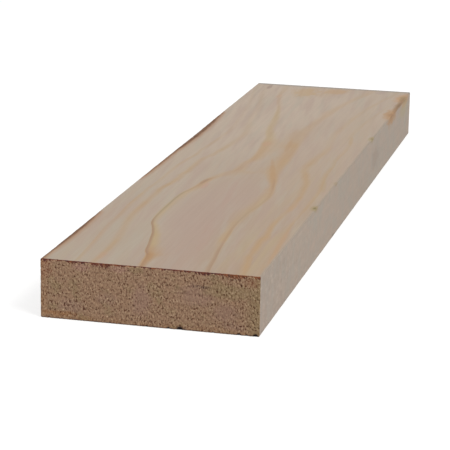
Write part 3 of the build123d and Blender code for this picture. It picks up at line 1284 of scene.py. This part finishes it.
def tear_reach_at(x):
    """How far below the top arris of the near end the wood is torn, in millimetres."""
    reach = max(0.0, 0.6 + 0.6 * wobble(x, 0, 0, 2.0, 5.0))
    for middle, half_run, depth in tears:
        swell = max(0.0, 1 - ((x - middle) / half_run) ** 2) ** 0.5
        reach = max(reach, depth * swell)
    return reach


def end_relief(x, z, end):
    """Depth of the sawn surface below the square end, how far a tear reaches here, and how chipped it is."""
    seed = 20.0 if end < 0 else 70.0
    tufts = noise.fractal(Vector((x / tuft_size[0] + seed, z / tuft_size[1], seed)), 0.8, 2.1, 3)
    pits = max(0.0, noise.noise(Vector((x / pit_size[0], z / pit_size[1], seed + 7.0))) - 0.12)
    depth = 0.25 + 0.22 * tufts + 1.1 * pits
    reach = 0.0
    chip = 0.0
    if end < 0:
        reach = tear_reach_at(x)
        depth += 0.7 * max(0.0, 1 - (thickness - z) / max(reach, 0.1))
        for middle, radius in chips:
            chip = max(chip, 1 - math.hypot(x - middle, z) / radius)
        depth += 0.4 * chip
    return max(0.02, depth), reach, chip


print(len(tears), "tears and", len(chips), "chips on the near end")

# %% [markdown]
# ## Strips along the arrises
#
# A planer leaves an arris a little blunt, and handling wears it unevenly. A bevel
# tool rounds every edge alike, so here each arris is a strip of its own: a row of
# points round it at every station along the board, on a curve from the one face to
# the other. Where there is wane, the curve reaches much further over the wide face.

# %% Strips along the arrises
arris_segments = 4
wane_segments = 9
station_step = 2.0
wane_station_step = 1.0

# How much of an arris is worn off, and how full the curve is that is left. At 0 it would
# be a flat slope, and at 1 it would run smoothly into both faces
usual_wear = 0.75
round_curve = 0.75
flatter_curve = 0.5


def arris_legs(side, level, y):
    """How far an arris is taken off on the wide face and on the narrow edge, and how full it is left."""
    wear = usual_wear + 0.22 * wobble(side * 40, y, level * 40, 14.0, 2.0)
    wear += 0.12 * wobble(side * 9, y, level, 3.0, 4.0)
    legs = [wear, wear, round_curve]
    if side < 0 and level == 1:
        unevenness = 1 + 0.25 * wobble(0, y, 0, 7.0, 6.0) + 0.15 * wobble(0, y, 0, 2.0, 8.0)
        depth = max(0.0, wane_depth(y) * unevenness)
        wide, narrow = depth / math.sin(wane_slope), depth / math.cos(wane_slope)
        curve = round_curve if wide < wear else flatter_curve
        legs = [max(wear, wide), max(0.6 * wear, narrow), curve]
    return legs


def build_arris(side, level):
    """Rows of points round an arris, one row for each station from the near end to the far end."""
    waney = side < 0 and level == 1
    segments = wane_segments if waney else arris_segments
    count = round(2 * half_length / (wane_station_step if waney else station_step))
    corner = Vector((side * half_width, level * thickness))
    inward = Vector((-side, 0))
    along_edge = Vector((0, -1 if level else 1))
    rows = []
    for station in range(count + 1):
        y = -half_length + 2 * half_length * station / count
        wide, narrow, fullness = arris_legs(side, level, y)
        first = corner + inward * wide
        last = corner + along_edge * narrow
        control = ((first + last) / 2).lerp(corner, fullness)
        row = []
        for step in range(segments + 1):
            share = step / segments
            spot = first * (1 - share) ** 2 + control * 2 * share * (1 - share) + last * share ** 2
            if waney and 0 < step < segments:
                dent = 0.1 * wane_depth(y) * (1 + wobble(spot.x * 2, y, spot.y * 2, 2.4, 3.0))
                spot += (inward + along_edge) * max(0.0, dent)
            end = -1 if station == 0 else 1 if station == count else 0
            depth, reach, chip = end_relief(spot.x, spot.y, end) if end else (0.0, 0.0, 0.0)
            row.append(add_point(spot.x, y - end * depth, spot.y, depth, reach, chip))
        rows.append(row)
    material = "waney_arris" if waney else "planed_timber"
    for row, next_row in zip(rows, rows[1:]):
        for step in range(segments):
            add_face((row[step], next_row[step], next_row[step + 1], row[step + 1]), material)
    return rows


arrises = {(side, level): build_arris(side, level) for side in (-1, 1) for level in (0, 1)}
print("arris strips:", len(points), "points,", len(faces), "faces")

# %% Edges of the ends
net_step = 0.5


def build_end_edge(first, last, end):
    """Points in a straight line between two numbered points of an end, both included."""
    start_x, start_z = points[first][0] / mm, points[first][2] / mm
    stop_x, stop_z = points[last][0] / mm, points[last][2] / mm
    steps = round(math.hypot(stop_x - start_x, stop_z - start_z) / net_step)
    line = [first]
    for step in range(1, steps):
        share = step / steps
        x = start_x + (stop_x - start_x) * share
        z = start_z + (stop_z - start_z) * share
        depth, reach, chip = end_relief(x, z, end)
        line.append(add_point(x, end * (half_length - depth), z, depth, reach, chip))
    return line + [last]


def end_row(side, level, end):
    """The arris row that lies on an end."""
    return arrises[side, level][0 if end < 0 else -1]


wide_edges = {}
narrow_edges = {}
for end in (-1, 1):
    for level in (0, 1):
        wide_edges[end, level] = build_end_edge(end_row(-1, level, end)[0], end_row(1, level, end)[0], end)
    for side in (-1, 1):
        narrow_edges[end, side] = build_end_edge(end_row(side, 0, end)[-1], end_row(side, 1, end)[-1], end)
print("with the edges of the ends:", len(points), "points")

# %% [markdown]
# ## Filling the faces
#
# Each remaining face is a closed loop of points that are already there. Blender
# can fill a loop with triangles and use extra points inside it, which is called a
# constrained Delaunay triangulation. A grid of squares would have to match the
# arrises row for row, and this does not. The flat faces need only a few inside
# points. The ends get a fine net of them, each pushed in by the relief above.

# %% Helper that fills a loop
def fill(loop, inner, flatten, make_point, material):
    """Triangles between the points of a loop and new inner points, given in the plane."""
    plane = [Vector(flatten(points[number])) for number in loop] + [Vector(spot) for spot in inner]
    result = delaunay_2d_cdt(plane, [], [list(range(len(loop)))], 1, 1e-6)
    numbers = []
    for spot, origins in zip(result[0], result[3]):
        known = [origin for origin in origins if origin < len(loop)]
        numbers.append(loop[known[0]] if known else make_point(spot))
    for triangle in result[2]:
        add_face(tuple(numbers[corner] for corner in triangle), material)


def lattice(width, height, step, margin, shake=0.0):
    """Points of a square net inside a rectangle that starts at 0, 0. Each can be shaken a little."""
    columns = round((width - 2 * margin) / step)
    rows = round((height - 2 * margin) / step)
    spots = []
    for row in range(rows + 1):
        for column in range(columns + 1):
            across = margin + (width - 2 * margin) * column / columns
            up_by = margin + (height - 2 * margin) * row / rows
            spots.append((
                across + shake * wobble(across, up_by, 0, 0.7, 1.0),
                up_by + shake * wobble(across, up_by, 0, 0.7, 50.0),
            ))
    return spots


print("a fine net has", len(lattice(10, 10, net_step, 0.0)), "points to a square centimetre")

# %% The two sawn ends
def wane_clear(x, z, end):
    """True where a point of an end lies clear of the wane's slope."""
    depth = wane_depth(end * half_length)
    from_corner = (x + half_width) * math.sin(wane_slope) + (thickness - z) * math.cos(wane_slope)
    return from_corner > depth * 1.3 + 0.5


def build_end(end):
    """One sawn end: a loop round the four arrises and edges, filled with a fine net."""
    loop = list(wide_edges[end, 0])
    loop += end_row(1, 0, end)[1:-1]
    loop += narrow_edges[end, 1]
    loop += end_row(1, 1, end)[-2:0:-1]
    loop += wide_edges[end, 1][::-1]
    loop += end_row(-1, 1, end)[1:-1]
    loop += narrow_edges[end, -1][::-1]
    loop += end_row(-1, 0, end)[-2:0:-1]
    net = lattice(2 * half_width, thickness, net_step, 0.8, shake=0.25)
    inner = [(x - half_width, z) for x, z in net if wane_clear(x - half_width, z, end)]

    def on_end(spot):
        depth, reach, chip = end_relief(spot.x, spot.y, end)
        return add_point(spot.x, end * (half_length - depth), spot.y, depth, reach, chip)

    fill(loop, inner, lambda point: (point[0] / mm, point[2] / mm), on_end, "sawn_end")


for end in (-1, 1):
    build_end(end)
print("with the ends:", len(points), "points,", len(faces), "faces")

# %% The four flat faces
flat_step = 12.0
flat_margin = 6.0


def build_wide_face(level):
    """The underside at level 0, or the upper face at level 1."""
    right_column = [row[0] for row in arrises[1, level]]
    left_column = [row[0] for row in arrises[-1, level]]
    loop = wide_edges[-1, level] + right_column[1:-1] + wide_edges[1, level][::-1] + left_column[-2:0:-1]
    net = lattice(2 * half_width, 2 * half_length, flat_step, flat_margin)
    inner = [(x - half_width, y - half_length) for x, y in net]
    fill(
        loop, inner, lambda point: (point[0] / mm, point[1] / mm),
        lambda spot: add_point(spot.x, spot.y, level * thickness), "planed_timber",
    )


def build_narrow_face(side):
    """The left edge at side -1, or the right edge at side 1."""
    low_column = [row[-1] for row in arrises[side, 0]]
    high_column = [row[-1] for row in arrises[side, 1]]
    loop = low_column + narrow_edges[1, side][1:-1] + high_column[::-1] + narrow_edges[-1, side][-2:0:-1]
    net = lattice(2 * half_length, thickness, flat_step, flat_margin)
    inner = [(y - half_length, z) for y, z in net]
    fill(
        loop, inner, lambda point: (point[1] / mm, point[2] / mm),
        lambda spot: add_point(side * half_width, spot.x, spot.y), "planed_timber",
    )


for level in (0, 1):
    build_wide_face(level)
for side in (-1, 1):
    build_narrow_face(side)
print("whole board:", len(points), "points,", len(faces), "faces")

# %% The mesh itself
import bmesh

mesh = bpy.data.meshes.new("board")
mesh.from_pydata(points, [], faces)
mesh.polygons.foreach_set("material_index", face_materials)
for name, values in (("torn", torn_depth), ("tear_reach", tear_reaches), ("chipped", chip_depth)):
    mesh.attributes.new(name, "FLOAT", "POINT").data.foreach_set("value", values)
work = bmesh.new()
work.from_mesh(mesh)
bmesh.ops.recalc_face_normals(work, faces=work.faces)
open_edges = sum(1 for line in work.edges if not line.is_manifold)
work.to_mesh(mesh)
work.free()
mesh.update()
print("open edges:", open_edges)

# The planed faces are the triangles of the first material, and stay flat
is_round = []
for polygon in mesh.polygons:
    is_round.append(polygon.material_index != slots["planed_timber"] or len(polygon.vertices) != 3)
mesh.polygons.foreach_set("use_smooth", is_round)
for material in (planed_timber, sawn_end, waney_arris):
    mesh.materials.append(material)

# %% [markdown]
# ## Laying the skin out flat
#
# To keep the colours with the mesh they can be baked into a flat picture, so every
# point needs a place on it. Blender can unwrap a mesh by itself, but a box is easy
# to lay out by rule. The skin is unrolled like a label: the long faces lie one next
# to the other with a single cut along the lower left arris, and the two ends lie
# side by side above them.

# %% Flat layout
# Millimetres left free round the long faces
margin_along = 4
margin_round = 3

# The long faces take the lower 0.85 of the picture, and the ends a strip above it
picture_along = 1 / (2 * half_length + 2 * margin_along)
girth = 2 * (2 * half_width + thickness)
picture_round = 0.85 / (girth + 2 * margin_round)
end_scale = 0.12 / (thickness + 2)
ends_above = 0.87
near_end_from = 0.02
far_end_from = 0.52

# A face is part of the underside if all its points are lower than this, and some lie
# clear of the narrow edges
underside_limit = 1.3


def round_the_girth(x, z, under):
    """How far round the board a point lies, from the lower left arris to the right and over the top."""
    if under:
        return half_width + x + math.copysign(z, x)
    if x >= 0:
        return 2 * half_width + z + (half_width - x)
    return 3 * half_width + thickness - x + (thickness - z)


layout = mesh.uv_layers.new(name="OFBake")
for polygon in mesh.polygons:
    spots = [mesh.vertices[number].co / mm for number in polygon.vertices]
    is_low = all(spot.z < underside_limit for spot in spots)
    under = is_low and any(abs(spot.x) < half_width - 0.01 for spot in spots)
    for corner, spot in zip(polygon.loop_indices, spots):
        if polygon.material_index == slots["sawn_end"]:
            at_far_end = spot.y > 0
            from_left = half_width + (-spot.x if at_far_end else spot.x)
            u = from_left * end_scale + (far_end_from if at_far_end else near_end_from)
            v = ends_above + spot.z * end_scale
        else:
            u = (spot.y + half_length + margin_along) * picture_along
            v = (round_the_girth(spot.x, spot.z, under) + margin_round) * picture_round
        layout.data[corner].uv = (u, v)
print("flat layout:", len(mesh.polygons), "faces")

# %% The board in the frame
board = bpy.data.objects.new("board", mesh)
bpy.context.collection.objects.link(board)
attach(board, "root")
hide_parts("plank")
print("the board takes the place of the plank, in timber")

# %% [markdown]
# ## Floor and light
#
# The board lies on a white floor in soft light, as in a studio. Stronger lamps would
# turn the floor white too, but they would wash out the wood. So the floor is brighter
# for the camera than for the board, and the Light Path node tells the two apart.

# %% Floor
floor_size = 12.0
floor_drop = 0.2 * mm
floor_glow = 0.66
floor_grey = paint(190, 190, 190)


def seen_directly(tree):
    """1 for rays that show a surface as a picture, and 0 for rays that light one."""
    path = add_node(tree, "LightPath")
    seen = calc(tree, "MAXIMUM", path.outputs["Is Camera Ray"], path.outputs["Is Glossy Ray"])
    return calc(tree, "MAXIMUM", seen, path.outputs["Is Transmission Ray"])


def make_floor_material():
    """A matt pale grey that glows where it is seen directly."""
    material = bpy.data.materials.new("studio_floor")
    material.use_nodes = True
    tree = material.node_tree
    shader = tree.nodes["Principled BSDF"]
    feed(tree, shader.inputs["Base Color"], floor_grey)
    feed(tree, shader.inputs["Roughness"], 0.9)
    feed(tree, shader.inputs["Specular IOR Level"], 0.0)
    seen = seen_directly(tree)
    feed(tree, shader.inputs["Emission Color"], (1, 1, 1, 1))
    feed(tree, shader.inputs["Emission Strength"], calc(tree, "MULTIPLY", seen, floor_glow))
    return material


floor_mesh = bpy.data.meshes.new("floor")
floor_mesh.from_pydata(
    [(x * floor_size, y * floor_size, 0) for x, y in ((-1, -1), (1, -1), (1, 1), (-1, 1))],
    [], [(0, 1, 2, 3)],
)
floor_mesh.materials.append(make_floor_material())
floor = bpy.data.objects.new("floor", floor_mesh)
floor.location.z = -floor_drop
bpy.context.collection.objects.link(floor)
print("floor", 2 * floor_size, "m wide")

# %% World and lamps
# The world is plain white, and dimmer as a light than as a background
world_light = 0.54
world_seen = 1.0

world = bpy.data.worlds.new("studio")
bpy.context.scene.world = world
world.use_nodes = True
tree = world.node_tree
background = tree.nodes["Background"]
feed(tree, background.inputs["Color"], (1, 1, 1, 1))
strength = calc(tree, "MULTIPLY_ADD", seen_directly(tree), world_seen - world_light, world_light)
feed(tree, background.inputs["Strength"], strength)


def add_lamp(name, place, target, size, power):
    """A square soft light that points at a target."""
    lamp_data = bpy.data.lights.new(name, "AREA")
    lamp_data.size = size
    lamp_data.energy = power
    lamp = bpy.data.objects.new(name, lamp_data)
    lamp.location = place
    lamp.rotation_mode = "QUATERNION"
    lamp.rotation_quaternion = (Vector(target) - Vector(place)).to_track_quat("-Z", "Y")
    bpy.context.collection.objects.link(lamp)


add_lamp("key_light", (1.9, -1.2, 2.3), (0, 0, 0), 1.4, 46.0)
add_lamp("front_fill", (-0.6, -3.0, 1.2), (0, 0, 0), 1.8, 10.0)

bpy.context.scene.view_settings.view_transform = "Standard"
